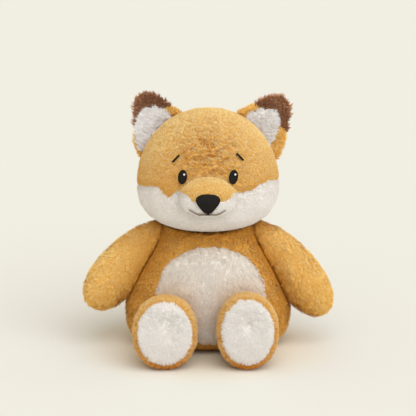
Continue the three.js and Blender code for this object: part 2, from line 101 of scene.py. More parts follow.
PILES = {
    "torso_cover": Pile(4.8, 0.5, 0.93, 52, 0.25, 3.6, 32, 34, 0.55, 0.9, 0.4, 1.0, "amber"),
    "belly_panel": Pile(4.0, 0.42, 1.4, 54, 0.2, 3.4, 35, 28, 0.55, 0.4, 0, 0.22, "cream"),
    "head_crown": Pile(3.2, 0.42, 1.25, 60, 0.1, 4.2, 22, 22, 0.5, 0.9, 1.0, 0.9, "tan"),
    "head_cheeks": Pile(2.2, 0.36, 1.6, 60, 0.15, 2.4, 16, 18, 0.5, 0.3, -0.9, 0.05, "pearl"),
    "snout_top": Pile(2.4, 0.36, 1.7, 62, 0.2, 2.4, 10, 16, 0.5, 0.6, 0.35, 0.3, "tan"),
    "snout_lower": Pile(2.0, 0.34, 1.8, 62, 0.15, 2.4, 16, 18, 0.5, 0.3, -0.9, 0.02, "pearl"),
    "ear_back": Pile(4.2, 0.42, 1.5, 54, 0.25, 3.0, 20, 30, 0.4, 0.4, 0.5, 0.06, "gold"),
    "ear_tip": Pile(6.4, 0.42, 1.8, 40, 0.35, 3.4, 34, 42, 0.4, 1.6, 0, 0.35, "brown"),
    "ear_lining": Pile(5.2, 0.42, 2.3, 62, 0.22, 3.4, 22, 24, 0.25, 0.15, 0, 0.03, "snow"),
    "arm_cover": Pile(4.6, 0.42, 1.6, 56, 0.22, 3.8, 40, 32, 0.55, 0.9, 0.35, 0.8, "gold"),
    "leg_cover": Pile(4.4, 0.42, 1.6, 48, 0.3, 3.4, 36, 34, 0.55, 0.9, -0.15, 0.9, "tan"),
    "sole_pad": Pile(3.0, 0.38, 1.8, 58, 0.1, 2.8, 16, 14, 0.55, 0.2, 0, 0.05, "chalk"),
    "tail_cover": Pile(6.4, 0.48, 1.3, 46, 0.4, 4.2, 28, 34, 0.55, 1.1, 0.4, 0.8, "tan"),
    "tail_tip": Pile(6.8, 0.48, 1.3, 44, 0.4, 4.2, 28, 34, 0.55, 0.8, 0, 0.3, "white"),
}


def pile_of(panel):
    return PILES[panel.removesuffix("_right").removesuffix("_left")]


BODY_NODES = frame["record"]["behaviour"]["bodies"]


def other_covers(body):
    """The covers of every other body, which a body's pile keeps short beside."""
    return [
        name
        for other, names in BODY_NODES.items()
        for name in names
        if other != body and (name in PILES or name.rsplit("_", 1)[0] in PILES)
    ]


# Numbers that vary smoothly from place to place, the same on each run. A pattern is the size that they
# change over and a seed of its own. The grid that they are drawn on is turned askew, so that it doesn't
# show.
Pattern = namedtuple("Pattern", "size seed")
HASH_PRIMES = (73856093, 19349663, 83492791)
HASH_SEED = 2654435761
HASH_MIX = 1274126177
HASH_SHIFTS = (13, 16)
HASH_WORD = 0xFFFFFFFF
HASH_MASK = 0xFFFFFF
SKEW = np.array([[0.36, 0.48, -0.8], [-0.8, 0.6, 0.0], [0.48, 0.64, 0.6]])


def cell_value(cells, seed):
    h = np.full(len(cells), (seed * HASH_SEED) & HASH_WORD, np.uint64)
    for i, prime in enumerate(HASH_PRIMES):
        h ^= (cells[:, i].astype(np.int64) * prime).astype(np.uint64)
    for shift in HASH_SHIFTS:
        h ^= h >> np.uint64(shift)
        h *= np.uint64(HASH_MIX)
    return (h & np.uint64(HASH_MASK)) / (HASH_MASK / 2) - 1


def wander(points, pattern):
    """From -1 to 1 at each point, by a pattern."""
    scaled = points @ SKEW / pattern.size
    base = np.floor(scaled).astype(np.int64)
    part = scaled - base
    part = part * part * (3 - 2 * part)
    total = np.zeros(len(points))
    for corner in np.ndindex(2, 2, 2):
        share = np.prod(np.where(corner, part, 1 - part), axis=1)
        total += share * cell_value(base + corner, pattern.seed)
    return total


def waves(points, parts):
    """Patterns laid one on another, each with its share."""
    return sum(share * wander(points, pattern) for share, pattern in parts)


TINY = 1e-12


def unit(vectors):
    return vectors / np.maximum(np.linalg.norm(vectors, axis=-1, keepdims=True), TINY)


def dot(some, others):
    return np.einsum("nj,nj->n", some, others)


# Meshes as arrays: points, and faces of one size each
def mesh_of(name, points, faces):
    mesh = bpy.data.meshes.new(name)
    count, size = faces.shape
    mesh.vertices.add(len(points))
    mesh.vertices.foreach_set("co", np.ascontiguousarray(points, np.float32).ravel())
    mesh.loops.add(count * size)
    mesh.loops.foreach_set("vertex_index", np.ascontiguousarray(faces, np.int32).ravel())
    mesh.polygons.add(count)
    mesh.polygons.foreach_set("loop_start", np.arange(0, count * size, size, dtype=np.int32))
    mesh.update(calc_edges=True)
    mesh.shade_smooth()
    return mesh


def object_of(name, points, faces):
    made = bpy.data.objects.new(name, mesh_of(name, points, faces))
    scene.collection.objects.link(made)
    return made


def arrays_of(mesh):
    points = np.empty(len(mesh.vertices) * 3, np.float32)
    mesh.vertices.foreach_get("co", points)
    corners = np.empty(len(mesh.loops), np.int32)
    mesh.loops.foreach_get("vertex_index", corners)
    return points.reshape(-1, 3).astype(float), corners


def triangles_of(mesh):
    mesh.calc_loop_triangles()
    found = np.empty(len(mesh.loop_triangles) * 3, np.int32)
    mesh.loop_triangles.foreach_get("vertices", found)
    return found.reshape(-1, 3)


def node_arrays(name):
    points, _ = arrays_of(nodes[name].data)
    return points, triangles_of(nodes[name].data)


def joined(parts):
    points, faces, count = [], [], 0
    for some_points, some_faces in parts:
        points.append(some_points)
        faces.append(some_faces + count)
        count += len(some_points)
    return np.concatenate(points), np.concatenate(faces)


def evaluated(obj):
    """The object's mesh with its modifiers, as points and faces of four, and the object is gone."""
    bpy.context.view_layer.update()
    mesh = bpy.data.meshes.new_from_object(obj.evaluated_get(bpy.context.evaluated_depsgraph_get()))
    points, corners = arrays_of(mesh)
    bpy.data.meshes.remove(mesh)
    bpy.data.meshes.remove(obj.data)
    return points, corners.reshape(-1, 4)


def remeshed(points, faces, voxel):
    rough = object_of("rough", points, faces)
    step = rough.modifiers.new("voxels", "REMESH")
    step.mode = "VOXEL"
    step.voxel_size = voxel
    return evaluated(rough)


def subdivided(points, faces):
    coarse = object_of("coarse", points, faces)
    step = coarse.modifiers.new("finer", "SUBSURF")
    step.levels = 1
    step.render_levels = 1
    return evaluated(coarse)


def edges_of(faces):
    size = faces.shape[1]
    pairs = np.concatenate([faces[:, [i, (i + 1) % size]] for i in range(size)])
    return np.unique(np.sort(pairs, axis=1), axis=0)


def neighbour_mean(values, edges):
    count = np.bincount(edges.ravel(), minlength=len(values)).astype(float)
    total = np.zeros_like(values)
    for column in range(values.shape[1]):
        for a, b in ((0, 1), (1, 0)):
            total[:, column] += np.bincount(edges[:, a], values[edges[:, b], column], len(values))
    return total / np.maximum(count, 1)[:, None]


def relaxed(points, edges, rounds, share=0.5, back=0.52):
    """Evens out bumps and facets, and each second step grows back what the first one shrinks."""
    for _ in range(rounds):
        points = points + share * (neighbour_mean(points, edges) - points)
        points = points - back * (neighbour_mean(points, edges) - points)
    return points


def normals_of(points, faces):
    diagonal_a = points[faces[:, 2]] - points[faces[:, 0]]
    diagonal_b = points[faces[:, -1]] - points[faces[:, 1]]
    facing = np.cross(diagonal_a, diagonal_b)
    total = np.zeros_like(points)
    for column in range(3):
        for corner in range(faces.shape[1]):
            total[:, column] += np.bincount(faces[:, corner], facing[:, column], len(points))
    return unit(total)


# What lies nearest, among the solids
class Nearest:
    def __init__(self, names):
        parts = [node_arrays(name) for name in names]
        points, faces = joined(parts)
        self.owner = np.repeat(np.arange(len(names)), [len(part[1]) for part in parts])
        self.tree = BVHTree.FromPolygons(points.tolist(), faces.tolist())

    def look(self, points):
        """The index of each point's nearest solid, and how far off it is."""
        found = [self.tree.find_nearest(point) for point in points.tolist()]
        face = np.array([hit[2] for hit in found])
        return self.owner[face], np.array([hit[3] for hit in found])


def tree_of(points):
    tree = KDTree(len(points))
    for i, point in enumerate(points.tolist()):
        tree.insert(point, i)
    tree.balance()
    return tree


# Cloth: the skin swells under its stuffing between its seams, which hold still
CLOTH_QUALITY = 4
CLOTH_STIFFNESS = 25
PUFF_FRAMES = 14
PUFF_PRESSURE = 3.5
PUFF_CAP = 2.6 * MM
SEAM_HOLD = 6 * MM


def puffed(points, faces, hold):
    """The skin after a short push from inside."""
    cloth = object_of("cloth", points, faces)
    group = cloth.vertex_groups.new(name="held")
    for level in np.unique(np.round(hold, 1)):
        members = np.flatnonzero(np.round(hold, 1) == level)
        group.add(members.tolist(), float(level), "REPLACE")
    step = cloth.modifiers.new("cloth", "CLOTH")
    step.settings.vertex_group_mass = "held"
    step.settings.use_pressure = True
    step.settings.uniform_pressure_force = PUFF_PRESSURE
    step.settings.effector_weights.gravity = 0
    step.settings.quality = CLOTH_QUALITY
    step.settings.tension_stiffness = CLOTH_STIFFNESS
    step.settings.compression_stiffness = CLOTH_STIFFNESS
    step.point_cache.frame_start = 1
    step.point_cache.frame_end = PUFF_FRAMES
    for number in range(1, PUFF_FRAMES + 1):
        scene.frame_set(number)
    swollen, _ = evaluated(cloth)
    scene.frame_set(1)
    move = swollen - points
    far = np.linalg.norm(move, axis=1, keepdims=True)
    return points + move * np.minimum(1, PUFF_CAP / np.maximum(far, TINY))


# A skin: home is where each point would lie with no pile to draw it in. Seams lie in shallow valleys,
# a fold is a deeper one, and beside another body the skin isn't drawn in as far. How rough a skin is
# means how much of the pile's relief it has.
Skin = namedtuple("Skin", "body points faces home panel_of_face panels")
SKIN_ROUNDS = 6
SINK_ROUNDS = 3
VALLEY_DEPTH = 0.9 * MM
VALLEY_WIDTH = 3.5 * MM
FLOOR_CLEAR = 0.6 * MM
NEIGHBOUR_REACH = 7 * MM
NEIGHBOUR_SINK_SHARE = 0.12
FOLD_DEPTH = 1.5 * MM
FOLD_WIDTH = 2.4 * MM

# Hills and hollows of the pile: broad soft ones everywhere, and ridges where it is ruffled
RELIEF = ((0.5, Pattern(8 * MM, 3)), (0.35, Pattern(5 * MM, 1)), (0.15, Pattern(2.5 * MM, 2)))
RELIEF_HEIGHT = 1.2 * MM
RIDGES = ((1.0, Pattern(7 * MM, 5)), (0.4, Pattern(3.5 * MM, 6)))
RIDGE_SHAPE = np.array([0.75, 1.0, 1.8])
RIDGE_HEIGHT = 1.8 * MM
RIDGE_CREST = 0.5
RIDGE_STEEPNESS = 2

# How ruffled calm pile is, and how much of a ruffled pile's disorder it has at the least
CALM = 0.25
CALM_SHARE = 0.25


def ridges(places, ruffle):
    """Winding crests, as high as the pile is ruffled, with hollows between them."""
    winding = waves(places * RIDGE_SHAPE, RIDGES)
    return ruffle * np.clip(RIDGE_CREST - RIDGE_STEEPNESS * np.abs(winding), -1, 1)


def even(amount):
    """The same ruffle everywhere."""

    def ruffle(places):
        return np.full(len(places), amount)

    return ruffle


calm = even(CALM)


def drawn_in(body, panels, points, faces, owner):
    """The skin under the depth of its pile, which is less beside another body."""
    sink = np.array([pile_of(name).length * pile_of(name).sink * MM for name in panels])[owner]
    _, room = Nearest(other_covers(body)).look(points)
    sink = sink * np.clip(room / NEIGHBOUR_REACH, NEIGHBOUR_SINK_SHARE, 1)
    sink = relaxed(sink[:, None], edges_of(faces), SINK_ROUNDS, back=0)[:, 0]
    return points - normals_of(points, faces) * sink[:, None]


def valleys(home, faces, owner, panels, fold):
    """How deep the skin lies along its seams, and deeper between two panels that meet in a fold."""
    edges = edges_of(faces)
    valley = seam_nearness(home, edges, owner, VALLEY_WIDTH) * VALLEY_DEPTH
    if fold:
        either = np.array([name in fold for name in panels])[owner]
        mine = edges[either[edges[:, 0]] & either[edges[:, 1]]]
        valley = valley + seam_nearness(home, mine, owner, FOLD_WIDTH) * FOLD_DEPTH
    return valley


def hills(home, ruffle):
    """How far the pile's hills and hollows raise the skin."""
    around = ruffle(home)
    soft = RELIEF_HEIGHT * (CALM_SHARE + around) * waves(home, RELIEF)
    return soft + RIDGE_HEIGHT * ridges(home, around)


def stuffed_skin(body, panels, filling, voxel, rough=1.0, swells=True, extra=(), fold=None, ruffle=calm):
    """One closed surface round a body's solids, drawn in by its pile, with its panels marked."""
    parts = [node_arrays(name) for name in (*panels, *filling)] + list(extra)
    points, faces = remeshed(*joined(parts), voxel)
    home = relaxed(points, edges_of(faces), SKIN_ROUNDS)
    near = Nearest(panels)
    owner, _ = near.look(home)
    points = drawn_in(body, panels, home, faces, owner)
    if swells:
        points = puffed(points, faces, seam_nearness(home, edges_of(faces), owner, SEAM_HOLD))
    points, fine = subdivided(points, faces)
    home, _ = subdivided(home, faces)
    owner, _ = near.look(home)
    raised = rough * hills(home, ruffle) - valleys(home, fine, owner, panels, fold)
    points = points + normals_of(points, fine) * raised[:, None]
    points[:, 2] = np.maximum(points[:, 2], FLOOR_CLEAR)
    panel_of_face = np.median(owner[fine], axis=1).astype(int)
    return Skin(body, points, fine, home, panel_of_face, panels)


def seam_nearness(home, edges, owner, width):
    """1 on the seams between panels, falling to 0 past width."""
    across = owner[edges[:, 0]] != owner[edges[:, 1]]
    if not across.any():
        return np.zeros(len(home))
    tree = tree_of(home[edges[across]].mean(axis=1))
    away = np.array([tree.find(point)[2] for point in home.tolist()])
    return np.exp(-((away / width) ** 2))


def panel_skin(skin, index):
    """The faces of one panel alone."""
    faces = skin.faces[skin.panel_of_face == index]
    used, renumbered = np.unique(faces, return_inverse=True)
    return skin.points[used], renumbered.reshape(faces.shape), skin.home[used]


# Where strands stand on a skin, and where each would stand with no pile to draw the skin in
Roots = namedtuple("Roots", "at normal home")


def scattered(skin, density, draw):
    """Roots spread evenly by chance, so many on a square millimetre."""
    corners = np.concatenate([skin.faces[:, [0, 1, 2]], skin.faces[:, [0, 2, 3]]])
    a, b, c = (skin.points[corners[:, i]] for i in range(3))
    area = np.linalg.norm(np.cross(b - a, c - a), axis=1) / 2
    count = int(area.sum() / MM**2 * density)
    chosen = np.searchsorted(np.cumsum(area), draw.random(count) * area.sum())
    chosen = np.minimum(chosen, len(area) - 1)
    share = np.sqrt(draw.random(count))
    other = draw.random(count)
    weights = np.stack([1 - share, share * (1 - other), share * other], axis=1)
    normals = normals_of(skin.points, skin.faces)

    def mixed(values):
        return np.einsum("nk,nkj->nj", weights, values[corners[chosen]])

    return Roots(mixed(skin.points), unit(mixed(normals)), mixed(skin.home))


def turned(vectors, axes, angles):
    """Each vector turned about its own axis."""
    c, s = np.cos(angles)[:, None], np.sin(angles)[:, None]
    along = dot(vectors, axes)[:, None]
    return vectors * c + np.cross(axes, vectors) * s + axes * along * (1 - c)


# Where a strand lies: how far it turns from its lay and how far it leans, in degrees
BROAD_TURNS = Pattern(14 * MM, 11)
CURLS = Pattern(3 * MM, 12)
CURL_EACH = 0.4
CALM_CURL = 0.3
RUFFLED_TURNS = Pattern(5 * MM, 17)
RUFFLE_SWIRL = 80
UNRULY_TUFTS = Pattern(2.5 * MM, 13)
UNRULY_TUFT = 12
UNRULY_EACH = 7
RUFFLED_LEANS = Pattern(5 * MM, 18)
RUFFLE_LEAN = 26
RUFFLE_RISE = 12
TUFT_LIFT = 14
LEAN_LEAST = 8
LEAN_MOST = 80

# How long it is, and how it bends: it rises more steeply than it leans, and its upper half droops
LENGTH_SPREAD = 0.22
LENGTH_LEAST = -2
LENGTH_MOST = 1.4
LENGTH_PATCHES = Pattern(6 * MM, 14)
LENGTH_PATCH = 0.15
RUFFLE_LENGTH = 0.6
ROOT_DEPTH = 0.5 * MM
RISE_LEAN = 0.6
DROOP_LEAN = 1.35
FLOOR_TIP = 0.15 * MM

# How far tufts gather, and how wide and how twisted a blade is
TUFT_SHAPE = np.array([1.0, 1.0, 1.8])
TUFT_REACH = 0.5
TUFT_FILL = 0.9
RUFFLE_GATHER = 0.45
MIDDLE_GATHER = 0.35
MIDDLE_WIDTH_SHARE = 0.85
NARROWEST = 0.7
WIDEST = 1.25
BLADE_TWIST = 30

# Tone, with painted shading: 0 for the pile's deep colour, and 1 for its light one. Tufts and patches differ at
# random, and in ruffled pile the back of each tuft is painted in shade and its front painted lighter.
MIDDLE_TONE = 0.37
TUFT_TONES = Pattern(3 * MM, 15)
TUFT_TONE = 0.28
STRAND_TONE = 0.14
PATCH_TONES = Pattern(18 * MM, 16)
PATCH_TONE = 0.22
PAINTED_TUFT_SHADING = 0.3
BACK_SHADE = 0.55

# A blade's points are two at its root, two at its middle and its tip: each one's height, and the
# triangles between them
ROOT, MIDDLE, TIP = 0.0, 0.5, 1.0
BLADE_HEIGHTS = [ROOT, ROOT, MIDDLE, MIDDLE, TIP]
BLADE_POINTS = len(BLADE_HEIGHTS)
BLADE_FACES = np.array([[0, 1, 3], [0, 3, 2], [2, 3, 4]])

# Too little to show, and a direction that would vanish without it still has a length
LAY_NUDGE = 1e-4
BLADE_NUDGE = 1e-7


def along_skin(directions, normals):
    return unit(directions - normals * dot(directions, normals)[:, None] + LAY_NUDGE)


def swirls(roots, pile, ruffle, tuft, draw):
    """How far each strand turns from its lay, in degrees."""
    turn = pile.wander * wander(roots.home, BROAD_TURNS)
    curl = pile.curl * np.minimum(CALM_CURL + 2 * ruffle, 1)
    each = draw.normal(size=len(tuft))
    turn += curl * (wander(roots.home[tuft], CURLS) + CURL_EACH * each)
    return turn + RUFFLE_SWIRL * ruffle * wander(roots.home * RIDGE_SHAPE, RUFFLED_TURNS)


def leans(roots, pile, ruffle, tuft, ahead, draw):
    """How far each strand leans from upright, in degrees."""
    each = draw.normal(size=len(tuft))
    unruly = UNRULY_TUFT * wander(roots.home[tuft], UNRULY_TUFTS) + UNRULY_EACH * each
    unruly *= CALM_SHARE + ruffle
    ruffled = RUFFLE_LEAN * wander(roots.home * RIDGE_SHAPE, RUFFLED_LEANS) - RUFFLE_RISE
    ruffled = ruffled - TUFT_LIFT * ahead
    return np.clip(pile.lean + unruly + ruffle * ruffled, LEAN_LEAST, LEAN_MOST)


def lengths(roots, pile, ruffle, short, draw):
    """How long each strand is: short is its share of the pile's length by its place."""
    ruffled = 1 + RUFFLE_LENGTH * np.clip(ruffle - CALM, 0, 1)
    each = draw.normal(size=len(short)).clip(LENGTH_LEAST, LENGTH_MOST)
    long = pile.length * MM * short * ruffled * (1 + LENGTH_SPREAD * each)
    return long * (1 + LENGTH_PATCH * wander(roots.home, LENGTH_PATCHES))


def strands(roots, pile, lay, ruffle, short, draw):
    """Bent blades on their roots: points, triangles, each point's height and its tone with painted light and
    shade, and how much painted shadow the front of its tuft casts on a blade."""
    count = len(roots.at)
    flat = along_skin(lay, roots.normal)
    tuft = tufts(roots.home, pile.tuft * MM, draw)
    ahead = dot(roots.home - roots.home[tuft], flat) / (TUFT_REACH * pile.tuft * MM)
    ahead = np.clip(ahead, -1, 1)
    flat = turned(flat, roots.normal, np.radians(swirls(roots, pile, ruffle, tuft, draw)))
    lean = np.radians(leans(roots, pile, ruffle, tuft, ahead, draw))[:, None]
    length = lengths(roots, pile, ruffle, short, draw)[:, None]
    rise = roots.normal * np.cos(lean * RISE_LEAN) + flat * np.sin(lean * RISE_LEAN)
    droop = roots.normal * np.cos(lean * DROOP_LEAN) + flat * np.sin(lean * DROOP_LEAN)
    low = roots.at - roots.normal * ROOT_DEPTH
    middle = roots.at + rise * length / 2
    tip = middle + droop * length / 2
    drawn = (pile.gather + RUFFLE_GATHER * ruffle)[:, None] * (tip[tuft] - tip)
    tip = tip + drawn
    middle = middle + MIDDLE_GATHER * drawn
    for part in (low, middle, tip):
        part[:, 2] = np.maximum(part[:, 2], FLOOR_TIP)
    across = unit(np.cross(tip - low, roots.normal) + BLADE_NUDGE)
    twist = np.radians(BLADE_TWIST) * (CALM_SHARE + ruffle) * draw.normal(size=count)
    across = turned(across, unit(tip - low), twist)
    half = (pile.width * MM / 2 * draw.uniform(NARROWEST, WIDEST, count))[:, None] * across
    narrower = half * MIDDLE_WIDTH_SHARE
    corners = np.stack([low - half, low + half, middle - narrower, middle + narrower, tip], axis=1)
    facing = np.cross(corners[:, 1] - corners[:, 0], corners[:, 3] - corners[:, 0])
    flipped = dot(facing, roots.normal) < 0
    faces = np.where(flipped[:, None, None], BLADE_FACES[:, ::-1], BLADE_FACES)
    faces = faces + (np.arange(count) * BLADE_POINTS)[:, None, None]
    height = np.tile(BLADE_HEIGHTS, count)
    tone_and_shading = TUFT_TONE * wander(roots.home[tuft], TUFT_TONES) + STRAND_TONE * draw.normal(size=count)
    tone_and_shading = tone_and_shading * (CALM_SHARE + ruffle) + PATCH_TONE * wander(roots.home, PATCH_TONES)
    # painted shading: in ruffled pile a tuft's front is painted lighter and its back darker
    tone_and_shading = MIDDLE_TONE + pile.contrast * (tone_and_shading + PAINTED_TUFT_SHADING * ruffle * ahead)
    # painted light and shade: paler where the pile faces up and darker where it faces down, the other way round
    # when top is below nought
    tone_and_shading = tone_and_shading + pile.top * roots.normal[:, 2]
    # painted shadow under the front of a ruffled tuft
    tuft_shadow = BACK_SHADE * ruffle * np.clip(-ahead, 0, 1)
    return corners.reshape(-1, 3), faces.reshape(-1, 3), height, np.repeat(tone_and_shading, BLADE_POINTS), tuft_shadow


def tufts(places, size, draw):
    """For each strand, the strand whose tip its tuft gathers to."""
    wanted = max(1, int(len(places) * min(1, tuft_share(places, size))))
    leaders = draw.choice(len(places), wanted, replace=False)
    shaped = places * TUFT_SHAPE
    tree = tree_of(shaped[leaders])
    return leaders[[tree.find(point)[1] for point in shaped.tolist()]]


def tuft_share(places, size):
    """One leader for each patch of cloth a tuft wide, counted by the cells that the strands fill."""
    cells = np.unique(np.floor(places / size).astype(np.int64), axis=0)
    return TUFT_FILL * len(cells) / len(places)


# Materials
SPECULAR = 0.1
SHEEN_ROUGHNESS = 0.6
PILE_ROUGHNESS = 0.8
SKIN_ROUGHNESS = 0.9
FILLING_ROUGHNESS = 0.95
THREAD_ROUGHNESS = 0.55
PAPER_ROUGHNESS = 0.95
GRAIN_ROUGHNESS = 0.55


def feed(tree, node, inputs):
    """Links each input to another node's output, or sets it."""
    for name, value in inputs.items():
        if isinstance(value, bpy.types.NodeSocket):
            tree.links.new(value, node.inputs[name])
        else:
            node.inputs[name].default_value = value


def add(tree, kind, inputs=None, **settings):
    node = tree.nodes.new(kind)
    for name, value in settings.items():
        setattr(node, name, value)
    feed(tree, node, inputs or {})
    return node


def material(name, roughness, sheen=0.0):
    made = bpy.data.materials.new(name)
    made.use_nodes = True
    tree = made.node_tree
    shader = tree.nodes["Principled BSDF"]
    feed(tree, shader, {"Roughness": roughness, "Specular IOR Level": SPECULAR})
    feed(tree, shader, {"Sheen Weight": sheen, "Sheen Roughness": SHEEN_ROUGHNESS})
    return made, tree, shader


def mixed_colour(tree, share, low, high):
    node = add(tree, "ShaderNodeMix", data_type="RGBA")
    used = [i for i, socket in enumerate(node.inputs) if socket.enabled]
    feed(tree, node, dict(zip(used, (share, low, high))))
    return next(socket for socket in node.outputs if socket.enabled)


def place(tree):
    return add(tree, "ShaderNodeTexCoord").outputs["Object"]


def stored(tree, name):
    return add(tree, "ShaderNodeAttribute", attribute_name=name).outputs["Fac"]


def noise(tree, size, detail=3.0):
    inputs = {"Vector": place(tree), "Scale": 1 / size, "Detail": detail, "Roughness": GRAIN_ROUGHNESS}
    return add(tree, "ShaderNodeTexNoise", inputs).outputs["Fac"]


def ranged(tree, value, low, high, to_low=0.0, to_high=1.0):
    inputs = {"Value": value, "From Min": low, "From Max": high, "To Min": to_low, "To Max": to_high}
    return add(tree, "ShaderNodeMapRange", inputs).outputs["Result"]


def bump(tree, shader, height, depth):
    node = add(tree, "ShaderNodeBump", {"Distance": depth, "Height": height})
    feed(tree, shader, {"Normal": node.outputs["Normal"]})


# The colours of each cloth: a strand's root, middle and tip, the deep colour of darker tufts, which
# also carries painted shade by facing and at the back of tufts, and the colour of painted shade in the
# folds between parts, in hollows, on sides that face down and beside other parts
Tint = namedtuple("Tint", "slot root middle tip deep fold")
SHOWN = {
    "tan_plush": {
        "tan": ((206, 142, 44), (237, 210, 134), (246, 241, 212), (211, 151, 38), (194, 116, 4)),
        # painted light: the same tan, painted lighter for the arms and the ear backs
        "gold": ((230, 162, 54), (254, 228, 142), (255, 249, 200), (242, 190, 80), (202, 134, 34)),
        # painted shade: the same tan, painted darker and deeper for the torso
        "amber": ((202, 128, 28), (244, 202, 104), (254, 240, 176), (222, 155, 38), (188, 122, 34)),
    },
    "white_plush": {
        "white": ((238, 233, 226), (250, 248, 246), (254, 254, 254), (244, 240, 234), (216, 160, 108)),
        "cream": ((232, 228, 221), (246, 245, 242), (252, 251, 250), (228, 223, 214), (206, 156, 88)),
        # painted shade: the same white, with a darker deep colour for the face's painted shade by facing
        "pearl": ((228, 222, 215), (246, 244, 242), (252, 252, 252), (188, 180, 172), (206, 160, 116)),
        # painted shade: the same white, painted darker for the soles
        "chalk": ((218, 213, 208), (235, 233, 231), (244, 244, 244), (224, 221, 217), (206, 160, 116)),
        # painted light: the same white, painted lighter for the ear linings
        "snow": ((252, 252, 252), (255, 255, 255), (255, 255, 255), (248, 248, 250), (236, 224, 210)),
    },
    "brown_plush": {
        "brown": ((106, 56, 32), (222, 158, 114), (255, 228, 196), (120, 70, 44), (84, 42, 22)),
    },
}
TINTS = {
    name: Tint(slot, *(linear(*colour) for colour in colours))
    for slot, tints in SHOWN.items()
    for name, colours in tints.items()
}
SHEEN_TINT = linear(255, 240, 208)
PILE_SHEEN = 0.1
LIGHT_FROM = 0.9
DEEP_FROM = 0.05
DEEP_MOST = 0.7
KNIT_GRAIN = 1.6 * MM
KNIT_DEPTH = 0.5 * MM
KNIT_LOW = 0.35
KNIT_HIGH = 0.65


def pile_material(colour):
    """Strands: dark at the root, light at the tip, with tufts and broad patches of their own tone, painted lighter
    and darker by how they face and by their tufts as painted light and shade, and with painted shade in folds and
    hollows.
    """
    tint = TINTS[colour]
    made, tree, shader = material(f"pile_{colour}", PILE_ROUGHNESS, PILE_SHEEN)
    height = stored(tree, "height")
    lower = mixed_colour(tree, ranged(tree, height, ROOT, MIDDLE), tint.root, tint.middle)
    whole = mixed_colour(tree, ranged(tree, height, MIDDLE, TIP), lower, tint.tip)
    # the tone attribute, with its painted light and shade, mixes in the deep colour
    deep = ranged(tree, stored(tree, "tone_and_shading"), LIGHT_FROM, DEEP_FROM, 0.0, DEEP_MOST)
    toned = mixed_colour(tree, deep, whole, tint.deep)
    # painted shade: the fold attribute mixes in the fold colour
    shown = mixed_colour(tree, stored(tree, "fold"), toned, tint.fold)
    feed(tree, shader, {"Base Color": shown, "Sheen Tint": SHEEN_TINT})
    return made


def skin_material(colour):
    """The knitted backing with the pile's pressed roots on it, and with painted shade in folds and hollows."""
    tint = TINTS[colour]
    made, tree, shader = material(f"skin_{colour}", SKIN_ROUGHNESS)
    speckle = noise(tree, KNIT_GRAIN)
    mixed = mixed_colour(tree, ranged(tree, speckle, KNIT_LOW, KNIT_HIGH), tint.root, tint.middle)
    # painted shade: the fold attribute mixes in the fold colour
    feed(tree, shader, {"Base Color": mixed_colour(tree, stored(tree, "fold"), mixed, tint.fold)})
    bump(tree, shader, speckle, KNIT_DEPTH)
    return made


SKIN_MATERIALS = {colour: skin_material(colour) for colour in TINTS}
PILE_MATERIALS = {colour: pile_material(colour) for colour in TINTS}


def placed(obj, body, look, hinge=None):
    """Gives a piece its material and the body that it moves with; a piece with a hinge gets no body, and its place
    is baked into its mesh.
    """
    obj.data.materials.append(look)
    if hinge:
        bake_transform(obj)
    else:
        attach(obj, body)


# A hinge: the bodies on its two sides, and where the bend from one to the other starts and ends
Hinge = namedtuple("Hinge", "bodies start end")
CLOTH_THICKNESS = 0.8 * MM

# Strands are short beside other bodies and beside trim, and where a bulge stands out from the panels
SHORT_WITHIN = 3 * MM
SHORTEST_SHARE = 0.45
TRIM_REACH = 2.5 * MM
TRIM_SHARE = 0.35
BULGE_SHORT = 4 * MM
BULGE_SHARE = 0.5
BULGE_START = 0.5
ROOM_LEAST = 0.5 * MM
TRIM_LEAST = 0.6 * MM

# Where painted shade shows: beside other bodies and the floor, on sides that face down, in hollows and where the
# pile is ruffled; and how far a panel's edge strays
PAINTED_SHADE_REACH = 14 * MM
PAINTED_SHADE_START = 1 * MM
FLOOR_PAINTED_SHADE = 5 * MM
BESIDE_SHADE_SHARE = 3
BESIDE_SHADE_MOST = 0.85
DOWNWARD_SHADE = 0.25
DOWNWARD_SHADE_FROM = 0.75
SHADED_HOLLOWS = ((0.6, Pattern(3.6 * MM, 41)), (0.4, Pattern(2.2 * MM, 42)))
HOLLOW_SHADE = 0.75
HOLLOW_SHADE_CALM = 0.08
RIDGE_SHADE = 0.5
RUFFLE_SHADE = 0.1
STRAY = 1.3 * MM
STRAYS = tuple(Pattern(5 * MM, seed) for seed in (31, 32, 33))


def thickened(points, faces):
    """A panel as cloth: its outer face, an inner one and a closed rim."""
    inner = points - normals_of(points, faces) * CLOTH_THICKNESS
    inner[:, 2] = np.maximum(inner[:, 2], points[:, 2] / 2)
    count = len(points)
    pairs = np.concatenate([faces[:, [i, (i + 1) % 4]] for i in range(4)])
    forward = {tuple(pair) for pair in pairs.tolist()}
    rim = np.array([pair for pair in forward if pair[::-1] not in forward]).reshape(-1, 2)
    wall = np.stack([rim[:, 1], rim[:, 0], rim[:, 0] + count, rim[:, 1] + count], axis=1)
    return np.concatenate([points, inner]), np.concatenate([faces, faces[:, ::-1] + count, wall])


def store(mesh, name, values):
    mesh.attributes.new(name, "FLOAT", "POINT").data.foreach_set("value", values.astype(np.float32))


# Where a strand's points lie in its cell of the map
BLADE_MAP = np.array([[0.1, 0.05], [0.9, 0.05], [0.15, 0.5], [0.85, 0.5], [0.5, 0.95]])


def map_strands(mesh, count):
    """Each strand has its own small cell of the map, with its root at the cell's foot."""
    side = math.ceil(math.sqrt(count))
    number = np.arange(count)
    corner = np.stack([number % side, number // side], axis=1)[:, None] / side
    places = (corner + BLADE_MAP[None] / side).reshape(-1, 2)
    _, corners = arrays_of(mesh)
    layer = mesh.uv_layers.new(name="OFBake")
    layer.data.foreach_set("uv", places[corners].astype(np.float32).ravel())


